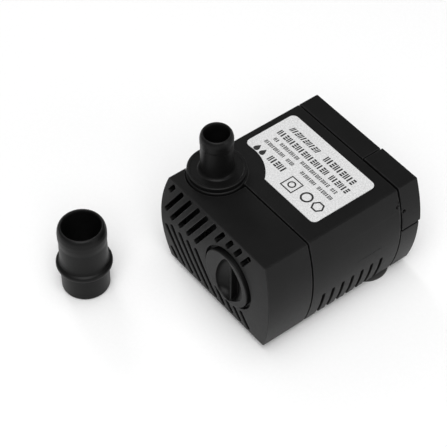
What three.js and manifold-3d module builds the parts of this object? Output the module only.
// Small submersible fountain pump: a strainer cover with a flow knob at the front, a motor
// housing with the pump chamber in the middle, and a two-piece rear cover with the cable gland.
// The loose hose adapter stands beside it.
// Millimetres. +Z up, the strainer faces -Y, +X to the right seen from the front.
// The origin is the centre of the motor housing's underside.

import * as THREE from 'three';
import { mergeVertices } from 'three/addons/utils/BufferGeometryUtils.js';
import Module from 'manifold-3d';

const wasm = await Module();
wasm.setup();

// ---------------------------------------------------------------- driving dimensions

const GAP = 0.3;
const FINE = 40;
const MEDIUM = 24;
const COARSE = 16;

const BODY = { halfWidth: 22, bulge: 3.2, height: 34, wall: 1.7, sideSteps: 8 };
const MIDDLE = BODY.height / 2;
const FRONT = { face: -27.5, bulge: 1.0, seam: -12, wall: 1.8 };
const REAR = { seam: 20.7, face: 28.1, bevel: 0.6, proud: 0.3 };

// Rows of sloping slots above and below a solid band: apexX is where the first row would meet.
const SLOT = { rows: 10, pitch: 3.84, apexX: -28.7, width: 1.5, slope: 0.613, band: 1.8, rise: 15.2 };
const SLOT_MARGIN = 1.7;
const SLOT_STEPS = 120;
const SHORTEST_SLOT = 12;

const KNOB = { x: 6.8, radius: 9.4, proud: 0.8, hub: 8.4, hubBack: -25, spindle: 1.9 };
const RECESS = { radius: 10.4, depth: 1.5, pad: 1.4, padDepth: 0.4 };
const GRIP = { length: 17.4, x: 1.0, left: 5.4, right: 6.6, depth: 3.2 };
const GRIP_BLADE = { width: 0.8, drop: 0.4, x: 1.5 };
const SHUTTER = { reach: 12.8, radius: 5.2, rest: 48, thickness: 0.8, hub: 9.4, clearance: 2.7 };

const GROOVE = { count: 7, first: -7.5, pitch: 3.66, width: 1.2, depth: 0.9, top: 11.4 };

const LIP = { reach: 1.8, root: 0.5, thickness: 1.3 };

// The rotor's axis, front to back, and what is built around it.
const AXIS = { x: -6, z: MIDDLE };
const CHAMBER = { outer: 14, inner: 12.4, front: -22, back: -13 };
const WELL = { inner: 6.6, outer: 7.6, end: 13, cap: 1.2 };
const LID = { rim: 13.8, thickness: 1.1, inlet: 4.6, boss: 2.7, bossBack: 0.6, spoke: 1.2 };
const SKIRT = { radius: 12.2, wall: 1.2, depth: 1.4 };
const LID_SEAL = { radius: 13.0, section: 0.32, groove: 0.5, back: 0.1 };
const SHAFT = { radius: 1.0, bore: 1.1, front: -22.6, back: 12.5 };
const SOCKET = { bore: 1.05, floor: 0.25, frontRadius: 1.65, rearRadius: 2.4 };
const MAGNET = { radius: 5.9, front: -12.3, back: 11.2, chamfer: 0.5 };
const IMPELLER = { radius: 10.6, hub: 3.0, blades: 6, front: -20.1, plate: -14.3, back: -13.5 };
const BLADE = { width: 1.0, root: 2.4, bend: 6.4, tip: 10.2, sweep: 2.4 };

// The upright outlet: its place in the housing, then the nozzle that plugs into it.
const OUTLET = { x: -15, y: -15.5, plug: 4.4, plugBottom: 28, bore: 3.2, clearance: 0.2 };
const BOSS = { radius: 5.7, bottom: 21, collar: 9.0, collarTop: 34.6, collarDepth: 2.4, notchDepth: 2.7 };
const NOZZLE = { flange: 8.75, flangeTop: 36.2, neck: 4.8, barb: 4.95, barbBottom: 44.6, top: 50.2 };
const NOZZLE_BORE = 3.5;
const NOZZLE_SEAL = { height: 2.5, half: 0.6, depth: 0.5, section: 0.28 };

const CORE = { left: -15, right: 20.2, front: -6, back: 10, armInner: 5.2, armOuter: 10.6, yoke: 5 };
const POLE = { edge: 3.2, gap: 0.8, bore: 8 };
const COIL = { left: 4.2, right: 14.6, outward: 3.9, inward: 4.6, side: 3.4, slack: 0.2 };
const BOBBIN = { flange: 0.9, tube: 0.8 };
const WINDING_SHRINK = 0.5;
const RESIN = { front: 14.6, back: 18.8 };

const BLOCK = { x: 6.7, z: 18.5 };
const GLAND = { x: 14.6, z: 26, hole: 3.0, flange: 4.1, bore: 1.9, length: 1.4, inside: 1.2 };
const LATCH = { radius: 0.45, depth: 0.6, housingZ: 28.6, blockZ: 26.2, inset: 1.3 };

const LABEL = { left: -19.5, right: 17.4, front: -6.5, back: 17, corner: 1.8, notch: 14 };
const FILM = { thickness: 0.3, lift: 0.08 };
const CUP = { height: 2.5, radius: 7.2, stem: 1.3, rearX: 15, rearY: 17.4, frontX: 12, frontY: -4 };
const CUP_SEAT = { margin: 0.4, depth: 0.4, clearance: 0.2 };
const ADAPTER = { x: -30.8, y: -52.8, height: 25.4, radius: 7.35, neck: 7.15, bore: 5.75, collar: 8.45 };

// ---------------------------------------------------------------- materials

const plastic = (color, roughness) => new THREE.MeshStandardMaterial({ color, roughness, metalness: 0 });
const metal = (color, roughness) => new THREE.MeshStandardMaterial({ color, roughness, metalness: 1 });

const CASE_BLACK = plastic(0x1b1b1d, 0.48);
const KNOB_BLACK = plastic(0x18181a, 0.42);
const LABEL_SILVER = plastic(0xd7d9dc, 0.35);
const RUBBER = plastic(0x121212, 0.75);
const SEAL_RUBBER = plastic(0x2a2320, 0.7);
const CERAMIC = plastic(0xe9e6dd, 0.25);
const FERRITE = plastic(0x33332f, 0.55);
const WHEEL_PLASTIC = plastic(0xe2e0d8, 0.4);
const NYLON = plastic(0xd9d3c0, 0.5);
const RESIN_BLACK = plastic(0x0e0e10, 0.2);
const STEEL = metal(0x8c8e90, 0.45);
const COPPER = metal(0xb4622c, 0.35);

// ---------------------------------------------------------------- geometry helpers

// A closed solid from a geometry: shared vertices merged, needle faces dropped, faces pointing out.
function solidOf(geometry) {
  geometry.deleteAttribute('normal');
  geometry.deleteAttribute('uv');
  const merged = mergeVertices(geometry, 1e-4);
  const corners = Array.from(merged.index.array);
  const points = merged.attributes.position.array;
  const triangles = [];
  let volume = 0;
  for (let i = 0; i < corners.length; i += 3) {
    const [a, b, c] = corners.slice(i, i + 3);
    if (a === b || b === c || a === c) continue;
    triangles.push([a, b, c]);
    const corner = (k) => new THREE.Vector3().fromArray(points, 3 * k);
    volume += corner(a).dot(corner(b).cross(corner(c)));
  }
  const facing = volume < 0 ? triangles.map(([a, b, c]) => [a, c, b]) : triangles;
  const vertProperties = Float32Array.from(points);
  const triVerts = Uint32Array.from(facing.flat());
  return new wasm.Manifold(new wasm.Mesh({ numProp: 3, vertProperties, triVerts }));
}

const joined = (solids) => solids.reduce((sum, solid) => sum.add(solid));

const cutBy = (solid, cutters) => solid.subtract(joined(cutters));

function named(name, solid, material) {
  const { vertProperties, triVerts } = solid.getMesh();
  const geometry = new THREE.BufferGeometry();
  geometry.setAttribute('position', new THREE.BufferAttribute(vertProperties, 3));
  geometry.setIndex(new THREE.BufferAttribute(triVerts, 1));
  geometry.computeVertexNormals();
  const mesh = new THREE.Mesh(geometry, material.clone());
  mesh.name = name;
  return mesh;
}

const box = (x0, x1, y0, y1, z0, z1) =>
  solidOf(
    new THREE.BoxGeometry(x1 - x0, y1 - y0, z1 - z0).translate((x0 + x1) / 2, (y0 + y1) / 2, (z0 + z1) / 2),
  );

const rodY = (radius, x, z, y0, y1, steps) =>
  solidOf(
    new THREE.CylinderGeometry(radius, radius, y1 - y0, steps).translate(x, (y0 + y1) / 2, z),
  );

const rodZ = (radius, x, y, z0, z1, steps) =>
  solidOf(
    new THREE.CylinderGeometry(radius, radius, z1 - z0, steps)
      .rotateX(Math.PI / 2)
      .translate(x, y, (z0 + z1) / 2),
  );

const turned = (profile, steps) =>
  new THREE.LatheGeometry(profile.map(([r, h]) => new THREE.Vector2(r, h)), steps);

// Turned about an upright axis through (x, y); profile points are [radius, height].
const turnedZ = (profile, x, y, steps) =>
  solidOf(turned(profile, steps).rotateX(Math.PI / 2).translate(x, y, 0));

// Turned about a front-to-back axis through (x, z); profile points are [radius, y].
const turnedY = (profile, x, z, steps) => solidOf(turned(profile, steps).translate(x, 0, z));

// An outline in X and Z, run from y0 to y1.
function extrudedY(shape, y0, y1) {
  const settings = { depth: y1 - y0, bevelEnabled: false };
  const across = new THREE.Matrix4().makeBasis(
    new THREE.Vector3(1, 0, 0),
    new THREE.Vector3(0, 0, 1),
    new THREE.Vector3(0, -1, 0),
  );
  const geometry = new THREE.ExtrudeGeometry(shape, settings);
  return solidOf(geometry.applyMatrix4(across).translate(0, y1, 0));
}

// An outline in Y and Z, run from x0 to x1.
function extrudedX(shape, x0, x1) {
  const settings = { depth: x1 - x0, bevelEnabled: false };
  const across = new THREE.Matrix4().makeBasis(
    new THREE.Vector3(0, 1, 0),
    new THREE.Vector3(0, 0, 1),
    new THREE.Vector3(1, 0, 0),
  );
  const geometry = new THREE.ExtrudeGeometry(shape, settings);
  return solidOf(geometry.applyMatrix4(across).translate(x0, 0, 0));
}

// An outline in X and Y, run from z0 to z1.
function extrudedZ(shape, z0, z1) {
  const settings = { depth: z1 - z0, bevelEnabled: false, curveSegments: 8 };
  const geometry = new THREE.ExtrudeGeometry(shape, settings);
  return solidOf(geometry.translate(0, 0, z0));
}

// ---------------------------------------------------------------- the barrel section

// How far a curved face stands out at height z: nothing at the edges, all of it half way up.
const swell = (z) => 1 - ((z - MIDDLE) / MIDDLE) ** 2;

const sideX = (z) => BODY.halfWidth + BODY.bulge * swell(z);

// The case's section in X and Z: flat top and bottom, bowed sides, drawn inward by inset.
function barrelShape(inset) {
  const heights = Array.from(
    { length: BODY.sideSteps + 1 },
    (_, i) => inset + (i / BODY.sideSteps) * (BODY.height - 2 * inset),
  );
  const right = heights.map((z) => new THREE.Vector2(sideX(z) - inset, z));
  const left = heights.map((z) => new THREE.Vector2(inset - sideX(z), z)).reverse();
  return new THREE.Shape([...right, ...left]);
}

const barrel = (inset, y0, y1) => extrudedY(barrelShape(inset), y0, y1);

// ---------------------------------------------------------------- front cover

// Everything behind the bowed front face, moved back by inset.
function behindFrontFace(inset) {
  const count = BODY.sideSteps;
  const curve = Array.from({ length: count + 1 }, (_, i) => {
    const z = (i / count) * BODY.height;
    return new THREE.Vector2(FRONT.face - FRONT.bulge * swell(z) + inset, z);
  });
  const back = [new THREE.Vector2(REAR.face, BODY.height), new THREE.Vector2(REAR.face, 0)];
  const reach = BODY.halfWidth + 2 * BODY.bulge;
  return extrudedX(new THREE.Shape([...curve, ...back]), -reach, reach);
}

// A round-ended slot through the front wall, from (x0, z0) to (x1, z1).
function frontSlot(x0, z0, x1, z1) {
  const length = Math.hypot(x1 - x0, z1 - z0);
  const radius = SLOT.width / 2;
  const shape = new THREE.Shape();
  shape.absarc(0, length, radius, 0, Math.PI, false);
  shape.absarc(0, 0, radius, Math.PI, 2 * Math.PI, false);
  const depth = 2 * (FRONT.wall + FRONT.bulge);
  const geometry = new THREE.ExtrudeGeometry(shape, { depth, bevelEnabled: false, curveSegments: 4 });
  geometry.rotateX(Math.PI / 2);
  geometry.rotateY(Math.atan2(x1 - x0, z1 - z0));
  return solidOf(geometry.translate(x0, FRONT.face + FRONT.wall + FRONT.bulge, z0));
}

// The stretch of one sloping slot that keeps clear of the knob and of the cover's sides.
function clippedSlot(apexX, direction) {
  const inside = [];
  for (let i = 0; i <= SLOT_STEPS; i += 1) {
    const rise = SLOT.band + (i / SLOT_STEPS) * (SLOT.rise - SLOT.band);
    const x = apexX + SLOT.slope * rise;
    const z = MIDDLE + direction * rise;
    const clearOfKnob = Math.hypot(x - KNOB.x, z - MIDDLE) > RECESS.radius + SLOT_MARGIN;
    const clearOfSide = Math.abs(x) < sideX(z) - SLOT_MARGIN - SLOT.width / 2;
    if (clearOfKnob && clearOfSide) inside.push([x, z]);
    else if (inside.length > 0 && x < KNOB.x) break;
  }
  if (inside.length < SHORTEST_SLOT) return null;
  return frontSlot(...inside[0], ...inside[inside.length - 1]);
}

function strainerSlots() {
  const slots = [];
  for (let k = 0; k < SLOT.rows; k += 1) {
    const apexX = SLOT.apexX + k * SLOT.pitch;
    for (const direction of [1, -1]) {
      const slot = clippedSlot(apexX, direction);
      if (slot) slots.push(slot);
    }
  }
  return slots;
}

// A round bay around the outlet's collar, open to the rear.
function collarBay() {
  const reach = BOSS.collar + GAP;
  const bottom = BOSS.collarTop - BOSS.notchDepth;
  const top = BODY.height + 1;
  const round = rodZ(reach, OUTLET.x, OUTLET.y, bottom, top, FINE);
  const left = OUTLET.x - reach;
  const right = OUTLET.x + reach;
  return round.add(box(left, right, OUTLET.y, FRONT.seam + 1, bottom, top));
}

function frontCover() {
  const bow = FRONT.face - FRONT.bulge;
  const outside = barrel(0, bow, FRONT.seam - GAP).intersect(behindFrontFace(0));
  const inside = barrel(BODY.wall, FRONT.face, FRONT.seam + 1).intersect(behindFrontFace(FRONT.wall));
  const padBack = FRONT.face + FRONT.wall + RECESS.padDepth;
  const pad = rodY(RECESS.radius + RECESS.pad, KNOB.x, MIDDLE, FRONT.face, padBack, FINE);
  const recess = rodY(RECESS.radius, KNOB.x, MIDDLE, bow - 1, bow + RECESS.depth, FINE);
  const hubHole = rodY(KNOB.hub + GAP, KNOB.x, MIDDLE, bow - 1, FRONT.seam, FINE);
  const padded = outside.subtract(inside).add(pad);
  return cutBy(padded, [recess, hubHole, collarBay(), ...strainerSlots()]);
}

// ---------------------------------------------------------------- flow control

const SHUTTER_FRONT = CHAMBER.front - SHUTTER.clearance;
const SHUTTER_BACK = SHUTTER_FRONT + SHUTTER.thickness;

// An eye-shaped outline, pointed at both ends and wider on its right side.
function gripShape() {
  const half = GRIP.length / 2;
  const shape = new THREE.Shape();
  shape.moveTo(GRIP.x, -half);
  shape.quadraticCurveTo(GRIP.x + 2 * GRIP.right, 0, GRIP.x, half);
  shape.quadraticCurveTo(GRIP.x - 2 * GRIP.left, 0, GRIP.x, -half);
  return shape;
}

// A dial with an eye-shaped hollow, and a blade left standing in the hollow to turn it by.
function flowKnob() {
  const face = FRONT.face - FRONT.bulge - KNOB.proud;
  const discBack = FRONT.face - FRONT.bulge + RECESS.depth - GAP;
  const disc = rodY(KNOB.radius, KNOB.x, MIDDLE, face, discBack, FINE);
  const hub = rodY(KNOB.hub, KNOB.x, MIDDLE, discBack - 0.5, KNOB.hubBack, FINE);
  const spindle = rodY(KNOB.spindle, KNOB.x, MIDDLE, KNOB.hubBack - 0.5, SHUTTER_BACK, COARSE);
  const settings = { depth: GRIP.depth + 1, bevelEnabled: false, curveSegments: 10 };
  const eye = new THREE.ExtrudeGeometry(gripShape(), settings)
    .rotateX(Math.PI / 2)
    .translate(KNOB.x, face + GRIP.depth, MIDDLE);
  const blade = new THREE.BoxGeometry(GRIP_BLADE.width, GRIP.depth, GRIP.length)
    .translate(KNOB.x + GRIP_BLADE.x, face + GRIP_BLADE.drop + GRIP.depth / 2, MIDDLE);
  const hollow = solidOf(eye).subtract(solidOf(blade));
  return joined([disc, hub, spindle]).subtract(hollow);
}

// A swinging plate on the knob's spindle that covers the chamber's inlet when it is turned home.
function flowShutter() {
  const angle = THREE.MathUtils.degToRad(180 + SHUTTER.rest);
  const lobeX = KNOB.x + SHUTTER.reach * Math.cos(angle);
  const lobeZ = MIDDLE + SHUTTER.reach * Math.sin(angle);
  const arm = new THREE.BoxGeometry(SHUTTER.reach, SHUTTER.thickness, 2 * SHUTTER.radius)
    .translate(SHUTTER.reach / 2, 0, 0)
    .rotateY(-angle)
    .translate(KNOB.x, (SHUTTER_FRONT + SHUTTER_BACK) / 2, MIDDLE);
  const hub = rodY(SHUTTER.hub, KNOB.x, MIDDLE, SHUTTER_FRONT, SHUTTER_BACK, MEDIUM);
  const lobe = rodY(SHUTTER.radius, lobeX, lobeZ, SHUTTER_FRONT, SHUTTER_BACK, MEDIUM);
  const bore = rodY(KNOB.spindle + 0.1, KNOB.x, MIDDLE, SHUTTER_FRONT - 1, SHUTTER_BACK + 1, COARSE);
  return joined([hub, lobe, solidOf(arm)]).subtract(bore);
}

// ---------------------------------------------------------------- motor housing

// Short upright grooves that follow the bowed sides and run out through the bottom edge.
function sideGrooves() {
  const core = barrel(GROOVE.depth, FRONT.seam - 1, REAR.seam + 1);
  const skin = barrel(-1, FRONT.seam, REAR.seam).subtract(core);
  const bars = Array.from({ length: GROOVE.count }, (_, i) => {
    const y = GROOVE.first + i * GROOVE.pitch;
    const reach = BODY.halfWidth + 2 * BODY.bulge;
    return box(-reach, reach, y - GROOVE.width / 2, y + GROOVE.width / 2, -2, GROOVE.top);
  });
  const inner = BODY.halfWidth - 1;
  const middle = box(-inner, inner, FRONT.seam, REAR.seam, -3, GROOVE.top + 1);
  return skin.intersect(joined(bars)).subtract(middle);
}

// The snap lip that the front cover slides over.
function coverLip() {
  const inset = BODY.wall + GAP;
  const outer = barrel(inset, FRONT.seam - LIP.reach, FRONT.seam + LIP.root);
  return outer.subtract(barrel(inset + LIP.thickness, FRONT.seam - LIP.reach - 1, FRONT.seam + 1));
}

const CUP_PLACES = [
  { name: 'suction_cup_rear_right', x: CUP.rearX, y: CUP.rearY },
  { name: 'suction_cup_rear_left', x: -CUP.rearX, y: CUP.rearY },
  { name: 'suction_cup_front_right', x: CUP.frontX, y: CUP.frontY },
  { name: 'suction_cup_front_left', x: -CUP.frontX, y: CUP.frontY },
];

function latchPit(z, y) {
  const x = sideX(z);
  const geometry = new THREE.CylinderGeometry(LATCH.radius, LATCH.radius, 2 * LATCH.depth, 10);
  return solidOf(geometry.rotateZ(Math.PI / 2).translate(x, y, z));
}

// A stem hole and a shallow round seat for each suction cup.
const cupSeats = ({ x, y }) => [
  rodZ(CUP.stem + CUP_SEAT.clearance, x, y, -1, BODY.wall + 1, COARSE),
  rodZ(CUP.radius + CUP_SEAT.margin, x, y, -1, CUP_SEAT.depth, MEDIUM),
];

function motorHousing() {
  const inner = FRONT.seam + 2;
  const socket = OUTLET.plug + OUTLET.clearance;
  const shell = barrel(0, FRONT.seam, REAR.seam).subtract(barrel(BODY.wall, inner, REAR.seam + 1));
  const added = [
    coverLip(),
    rodY(CHAMBER.outer, AXIS.x, AXIS.z, CHAMBER.front, FRONT.seam + 1, FINE),
    rodY(WELL.outer, AXIS.x, AXIS.z, FRONT.seam, WELL.end + WELL.cap, FINE),
    rodZ(BOSS.radius, OUTLET.x, OUTLET.y, BOSS.bottom, BOSS.collarTop - 1, MEDIUM),
    rodZ(BOSS.collar, OUTLET.x, OUTLET.y, BOSS.collarTop - BOSS.collarDepth, BOSS.collarTop, FINE),
  ];
  const cuts = [
    rodY(CHAMBER.inner, AXIS.x, AXIS.z, CHAMBER.front - 1, CHAMBER.back, FINE),
    rodY(WELL.inner, AXIS.x, AXIS.z, CHAMBER.back - 1, WELL.end, FINE),
    rodZ(OUTLET.bore, OUTLET.x, OUTLET.y, MIDDLE, OUTLET.plugBottom, MEDIUM),
    rodZ(socket, OUTLET.x, OUTLET.y, OUTLET.plugBottom - 2 * OUTLET.clearance, BODY.height + 2, MEDIUM),
    sideGrooves(),
    latchPit(LATCH.housingZ, REAR.seam - LATCH.inset / 2),
    ...CUP_PLACES.flatMap(cupSeats),
  ];
  return cutBy(joined([shell, ...added]), cuts);
}

// ---------------------------------------------------------------- chamber lid and its seal

const LID_BACK = CHAMBER.front - GAP;
const LID_FRONT = LID_BACK - LID.thickness;

// Three spokes across the inlet hold the boss of the front shaft socket.
function lidSpokes() {
  const level = (LID_FRONT + LID_BACK) / 2;
  const length = LID.inlet + 0.4;
  return [0, 1, 2].map((i) => {
    const spoke = new THREE.BoxGeometry(length, LID.thickness, LID.spoke).translate(length / 2, 0, 0);
    spoke.rotateY((i * 2 * Math.PI) / 3 + Math.PI / 2);
    return solidOf(spoke.translate(AXIS.x, level, AXIS.z));
  });
}

// The ring groove that holds the lid's seal.
function sealGroove() {
  const { radius, section, groove } = LID_SEAL;
  const ring = [
    [radius - groove, LID_BACK - groove],
    [radius + groove, LID_BACK - groove],
    [radius + groove, LID_BACK + section],
    [radius - groove, LID_BACK + section],
    [radius - groove, LID_BACK - groove],
  ];
  return turnedY(ring, AXIS.x, AXIS.z, FINE);
}

function chamberLid() {
  const plate = rodY(LID.rim, AXIS.x, AXIS.z, LID_FRONT, LID_BACK, FINE);
  const skirt = rodY(SKIRT.radius, AXIS.x, AXIS.z, LID_BACK - 0.2, CHAMBER.front + SKIRT.depth, FINE);
  const hollow = rodY(SKIRT.radius - SKIRT.wall, AXIS.x, AXIS.z, LID_BACK, CHAMBER.back, FINE);
  const inlet = rodY(LID.inlet, AXIS.x, AXIS.z, LID_FRONT - 1, LID_BACK + 1, MEDIUM);
  const boss = rodY(LID.boss, AXIS.x, AXIS.z, LID_FRONT, LID_BACK + LID.bossBack, MEDIUM);
  const socket = rodY(SOCKET.frontRadius + 0.1, AXIS.x, AXIS.z, LID_FRONT + GAP, CHAMBER.back, COARSE);
  const body = cutBy(plate.add(skirt), [hollow, inlet, sealGroove()]);
  return joined([body, boss, ...lidSpokes()]).subtract(socket);
}

// A closed round section, for a seal ring.
function ringProfile(radius, section, level) {
  const sides = 7;
  return Array.from({ length: sides + 1 }, (_, i) => {
    const angle = (i / sides) * 2 * Math.PI;
    return [radius + section * Math.cos(angle), level + section * Math.sin(angle)];
  });
}

function chamberSeal() {
  const profile = ringProfile(LID_SEAL.radius, LID_SEAL.section, LID_BACK - LID_SEAL.back);
  return turnedY(profile, AXIS.x, AXIS.z, MEDIUM);
}

// ---------------------------------------------------------------- rotor on its fixed shaft

const rotorShaft = () => rodY(SHAFT.radius, AXIS.x, AXIS.z, SHAFT.front, SHAFT.back, COARSE);

// A rubber cup over one end of the shaft.
function shaftSocket(mouth, closed, radius) {
  const floor = closed + Math.sign(mouth - closed) * SOCKET.floor;
  const profile = [
    [0, closed],
    [radius, closed],
    [radius, mouth],
    [SOCKET.bore, mouth],
    [SOCKET.bore, floor],
    [0, floor],
  ];
  return turnedY(profile, AXIS.x, AXIS.z, COARSE);
}

const frontSocket = () => shaftSocket(SHAFT.front + 0.8, SHAFT.front - 0.35, SOCKET.frontRadius);

const rearSocket = () => shaftSocket(WELL.end - 1.4, WELL.end - 0.15, SOCKET.rearRadius);

function rotorMagnet() {
  const { radius, front, back, chamfer } = MAGNET;
  const profile = [
    [SHAFT.bore, front],
    [radius - chamfer, front],
    [radius, front + chamfer],
    [radius, back - chamfer],
    [radius - chamfer, back],
    [SHAFT.bore, back],
    [SHAFT.bore, front],
  ];
  return turnedY(profile, AXIS.x, AXIS.z, MEDIUM);
}

// One blade from the hub to the rim, swept back as it goes out.
function bladeShape() {
  const { width, root, bend, tip, sweep } = BLADE;
  const half = width / 2;
  const shape = new THREE.Shape();
  shape.moveTo(root, -half);
  shape.quadraticCurveTo(bend, -half, tip, sweep - half);
  shape.lineTo(tip, sweep + half);
  shape.quadraticCurveTo(bend, half, root, half);
  shape.closePath();
  return shape;
}

function impeller() {
  const blades = Array.from({ length: IMPELLER.blades }, (_, i) => {
    const depth = IMPELLER.plate - IMPELLER.front + 0.2;
    const blade = new THREE.ExtrudeGeometry(bladeShape(), { depth, bevelEnabled: false, curveSegments: 5 });
    const turn = (i / IMPELLER.blades) * 2 * Math.PI;
    return solidOf(blade.rotateX(-Math.PI / 2).rotateY(turn).translate(AXIS.x, IMPELLER.front, AXIS.z));
  });
  const plate = rodY(IMPELLER.radius, AXIS.x, AXIS.z, IMPELLER.plate, IMPELLER.back, FINE);
  const hub = rodY(IMPELLER.hub, AXIS.x, AXIS.z, IMPELLER.front - 0.2, MAGNET.front - GAP, MEDIUM);
  const bore = rodY(SHAFT.bore, AXIS.x, AXIS.z, CHAMBER.front - 1, MAGNET.front, COARSE);
  return joined([plate, hub, ...blades]).subtract(bore);
}

// ---------------------------------------------------------------- stator and coils

// A C-shaped lamination stack whose two arms end in poles around the rotor well.
function statorCore() {
  const { left, right, front, back, armInner, armOuter, yoke } = CORE;
  const y0 = front - 1;
  const y1 = back + 1;
  const block = box(left, right, front, back, MIDDLE - armOuter, MIDDLE + armOuter);
  const window = box(POLE.edge, right - yoke, y0, y1, MIDDLE - armInner, MIDDLE + armInner);
  const bore = rodY(POLE.bore, AXIS.x, AXIS.z, y0, y1, FINE);
  const slit = box(left - 1, POLE.edge + 1, y0, y1, MIDDLE - POLE.gap, MIDDLE + POLE.gap);
  return cutBy(block, [window, bore, slit]);
}

// Limits of a frame around one arm: side is 1 for the upper arm and -1 for the lower one.
function aroundArm(side, outward, inward, sideways) {
  const far = MIDDLE + side * (CORE.armOuter + outward);
  const near = MIDDLE + side * (CORE.armInner - inward);
  return [CORE.front - sideways, CORE.back + sideways, Math.min(far, near), Math.max(far, near)];
}

function coilBobbin(side) {
  const { left, right, outward, inward, side: sideways, slack } = COIL;
  const { flange, tube } = BOBBIN;
  const wide = aroundArm(side, outward, inward, sideways);
  const wall = slack + tube;
  const narrow = aroundArm(side, wall, wall, wall);
  const hole = aroundArm(side, slack, slack, slack);
  const body = joined([
    box(left, left + flange, ...wide),
    box(right - flange, right, ...wide),
    box(left + flange / 2, right - flange / 2, ...narrow),
  ]);
  return body.subtract(box(left - 1, right + 1, ...hole));
}

function coilWinding(side) {
  const { left, right, outward, inward, side: sideways, slack } = COIL;
  const shrink = WINDING_SHRINK;
  const limits = aroundArm(side, outward - shrink, inward - shrink, sideways - shrink);
  const inner = 2 * slack + BOBBIN.tube;
  const hole = aroundArm(side, inner, inner, inner);
  const start = left + BOBBIN.flange + slack;
  const end = right - BOBBIN.flange - slack;
  return box(start, end, ...limits).subtract(box(start - 1, end + 1, ...hole));
}

const pottingResin = () => barrel(BODY.wall + GAP, RESIN.front, RESIN.back);

// ---------------------------------------------------------------- rear cover and cable block

// The rear cap's outside, with its back edge rounded over.
function rearCap(outset) {
  const radius = REAR.bevel;
  const depth = REAR.face - REAR.seam - radius;
  const geometry = new THREE.ExtrudeGeometry(barrelShape(radius - outset), {
    depth,
    bevelEnabled: true,
    bevelThickness: radius,
    bevelSize: radius,
    bevelSegments: 3,
  });
  geometry.rotateX(Math.PI / 2);
  const cap = solidOf(geometry.translate(0, REAR.face + outset - radius, 0));
  const reach = 2 * BODY.halfWidth;
  return cap.intersect(box(-reach, reach, REAR.seam + GAP, REAR.face + 1, -1, BODY.height + 1));
}

const upperRightOf = (x, z) => box(x, 2 * BODY.halfWidth, REAR.seam - 2, REAR.face + 2, z, BODY.height + 2);

function rearCover() {
  const hollow = barrel(BODY.wall, REAR.seam - 1, REAR.face - BODY.wall);
  const keptWall = upperRightOf(BLOCK.x - BODY.wall, BLOCK.z - BODY.wall);
  return rearCap(0).subtract(hollow.subtract(keptWall)).subtract(upperRightOf(BLOCK.x, BLOCK.z));
}

function cableBlock() {
  const corner = upperRightOf(BLOCK.x + GAP, BLOCK.z + GAP);
  const hollow = barrel(BODY.wall, REAR.seam - 1, REAR.face - BODY.wall);
  const inner = hollow.intersect(upperRightOf(BLOCK.x + BODY.wall, BLOCK.z + BODY.wall));
  const hole = rodY(GLAND.hole, GLAND.x, GLAND.z, REAR.seam, REAR.face + 2, MEDIUM);
  const pit = latchPit(LATCH.blockZ, REAR.seam + LATCH.inset);
  return cutBy(rearCap(REAR.proud).intersect(corner), [inner, hole, pit]);
}

// The rubber gland that the supply cable passes through.
function cableGland() {
  const inside = REAR.face - BODY.wall - GLAND.inside;
  const outside = REAR.face + REAR.proud + 0.1;
  const profile = [
    [GLAND.bore, inside],
    [GLAND.hole - 0.1, inside],
    [GLAND.hole - 0.1, outside],
    [GLAND.flange, outside],
    [GLAND.flange, outside + 0.8],
    [GLAND.flange - 0.8, outside + GLAND.length],
    [GLAND.bore, outside + GLAND.length],
    [GLAND.bore, inside],
  ];
  return turnedY(profile, GLAND.x, GLAND.z, MEDIUM);
}

// ---------------------------------------------------------------- outlet nozzle

const SEAL_LEVEL = OUTLET.plugBottom + NOZZLE_SEAL.height;

function outletNozzle() {
  const flangeBottom = BOSS.collarTop + GAP;
  const { half, depth } = NOZZLE_SEAL;
  const profile = [
    [NOZZLE_BORE, OUTLET.plugBottom],
    [OUTLET.plug - 0.1, OUTLET.plugBottom],
    [OUTLET.plug - 0.1, SEAL_LEVEL - half],
    [OUTLET.plug - depth, SEAL_LEVEL - half],
    [OUTLET.plug - depth, SEAL_LEVEL + half],
    [OUTLET.plug, SEAL_LEVEL + half],
    [OUTLET.plug, flangeBottom],
    [NOZZLE.flange, flangeBottom],
    [NOZZLE.flange, NOZZLE.flangeTop - 0.3],
    [NOZZLE.flange - 0.3, NOZZLE.flangeTop],
    [NOZZLE.neck + 0.5, NOZZLE.flangeTop],
    [NOZZLE.neck, NOZZLE.flangeTop + 0.5],
    [NOZZLE.neck - 0.1, NOZZLE.barbBottom],
    [NOZZLE.barb, NOZZLE.barbBottom + 0.5],
    [NOZZLE.barb - 0.1, NOZZLE.top - 1.2],
    [NOZZLE.barb - 0.4, NOZZLE.top - 0.4],
    [NOZZLE.barb - 0.75, NOZZLE.top],
    [NOZZLE_BORE + 0.1, NOZZLE.top],
    [NOZZLE_BORE, NOZZLE.top - 0.4],
    [NOZZLE_BORE, OUTLET.plugBottom],
  ];
  return turnedZ(profile, OUTLET.x, OUTLET.y, FINE);
}

function nozzleSeal() {
  const radius = OUTLET.plug - NOZZLE_SEAL.depth + NOZZLE_SEAL.section + 0.04;
  return turnedZ(ringProfile(radius, NOZZLE_SEAL.section, SEAL_LEVEL), OUTLET.x, OUTLET.y, MEDIUM);
}

// ---------------------------------------------------------------- label, cups and adapter

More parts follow.
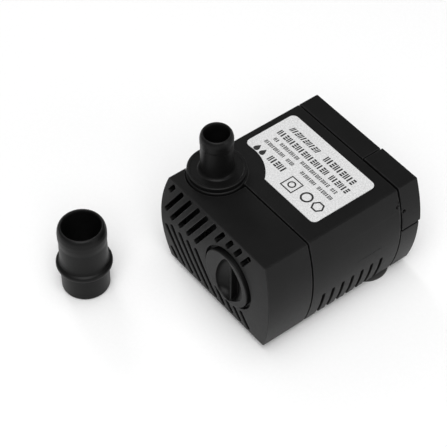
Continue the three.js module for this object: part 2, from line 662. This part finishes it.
// A plate with rounded corners and a bay that follows the outlet's flange.
function labelPlate() {
  const { left, right, front, back, corner, notch } = LABEL;
  const frontEnd = Math.asin((front - OUTLET.y) / notch);
  const cornerX = left + corner;
  const cornerY = OUTLET.y + Math.sqrt((notch + corner) ** 2 - (cornerX - OUTLET.x) ** 2);
  const leftEnd = Math.atan2(cornerY - OUTLET.y, cornerX - OUTLET.x);
  const shape = new THREE.Shape();
  shape.absarc(right - corner, front + corner, corner, -Math.PI / 2, 0, false);
  shape.absarc(right - corner, back - corner, corner, 0, Math.PI / 2, false);
  shape.absarc(cornerX, back - corner, corner, Math.PI / 2, Math.PI, false);
  shape.absarc(cornerX, cornerY, corner, Math.PI, leftEnd + Math.PI, false);
  shape.absarc(OUTLET.x, OUTLET.y, notch, leftEnd, frontEnd, true);
  shape.closePath();
  const bottom = BODY.height + FILM.lift;
  return extrudedZ(shape, bottom, bottom + FILM.thickness);
}

// A rubber cup with a stem that snaps into the housing.
function suctionCup(x, y) {
  const profile = [
    [0, -0.7],
    [1.6, -0.8],
    [CUP.radius - 0.9, 0.3 - CUP.height],
    [CUP.radius - 0.5, -CUP.height],
    [CUP.radius, -CUP.height],
    [CUP.radius - 0.1, 0.4 - CUP.height],
    [2.4, -GAP],
    [CUP.stem, -GAP],
    [CUP.stem, BODY.wall],
    [0, BODY.wall],
  ];
  return turnedZ(profile, x, y, COARSE + 4);
}

// The loose adapter: a plain end below the collar and a barbed end above it.
function hoseAdapter() {
  const foot = -CUP.height;
  const { height, radius, neck, bore, collar } = ADAPTER;
  const profile = [
    [bore, foot],
    [radius - 0.5, foot],
    [radius - 0.2, foot + 0.4],
    [radius - 0.2, foot + 9.2],
    [collar, foot + 9.3],
    [collar, foot + 11],
    [collar - 0.2, foot + 11.3],
    [neck + 0.2, foot + 11.4],
    [neck, foot + 18],
    [radius, foot + 18.6],
    [radius - 0.1, foot + height - 1.4],
    [radius - 0.4, foot + height - 0.4],
    [radius - 0.7, foot + height],
    [bore + 0.1, foot + height],
    [bore, foot + height - 0.4],
    [bore, foot],
  ];
  return turnedZ(profile, ADAPTER.x, ADAPTER.y, FINE);
}

// ---------------------------------------------------------------- assembly

const pump = new THREE.Group();

const strainer = new THREE.Group();
strainer.add(named('front_cover', frontCover(), CASE_BLACK));
strainer.add(named('flow_knob', flowKnob(), KNOB_BLACK));
strainer.add(named('flow_shutter', flowShutter(), CASE_BLACK));
pump.add(strainer);

const housing = new THREE.Group();
housing.add(named('motor_housing', motorHousing(), CASE_BLACK));
housing.add(named('chamber_lid', chamberLid(), CASE_BLACK));
housing.add(named('chamber_seal', chamberSeal(), SEAL_RUBBER));
housing.add(named('rear_cover', rearCover(), CASE_BLACK));
housing.add(named('cable_block', cableBlock(), CASE_BLACK));
housing.add(named('cable_gland', cableGland(), RUBBER));
housing.add(named('label_plate', labelPlate(), LABEL_SILVER));
pump.add(housing);

const motor = new THREE.Group();
motor.add(named('stator_core', statorCore(), STEEL));
for (const [place, side] of [['upper', 1], ['lower', -1]]) {
  motor.add(named(`coil_bobbin_${place}`, coilBobbin(side), NYLON));
  motor.add(named(`coil_winding_${place}`, coilWinding(side), COPPER));
}
motor.add(named('potting_resin', pottingResin(), RESIN_BLACK));
pump.add(motor);

const rotor = new THREE.Group();
rotor.add(named('rotor_magnet', rotorMagnet(), FERRITE));
rotor.add(named('impeller', impeller(), WHEEL_PLASTIC));
rotor.add(named('rotor_shaft', rotorShaft(), CERAMIC));
rotor.add(named('front_shaft_socket', frontSocket(), SEAL_RUBBER));
rotor.add(named('rear_shaft_socket', rearSocket(), SEAL_RUBBER));
pump.add(rotor);

const outlet = new THREE.Group();
outlet.add(named('outlet_nozzle', outletNozzle(), CASE_BLACK));
outlet.add(named('nozzle_seal', nozzleSeal(), SEAL_RUBBER));
pump.add(outlet);

for (const { name, x, y } of CUP_PLACES) {
  pump.add(named(name, suctionCup(x, y), RUBBER));
}

pump.add(named('hose_adapter', hoseAdapter(), CASE_BLACK));

export default pump;
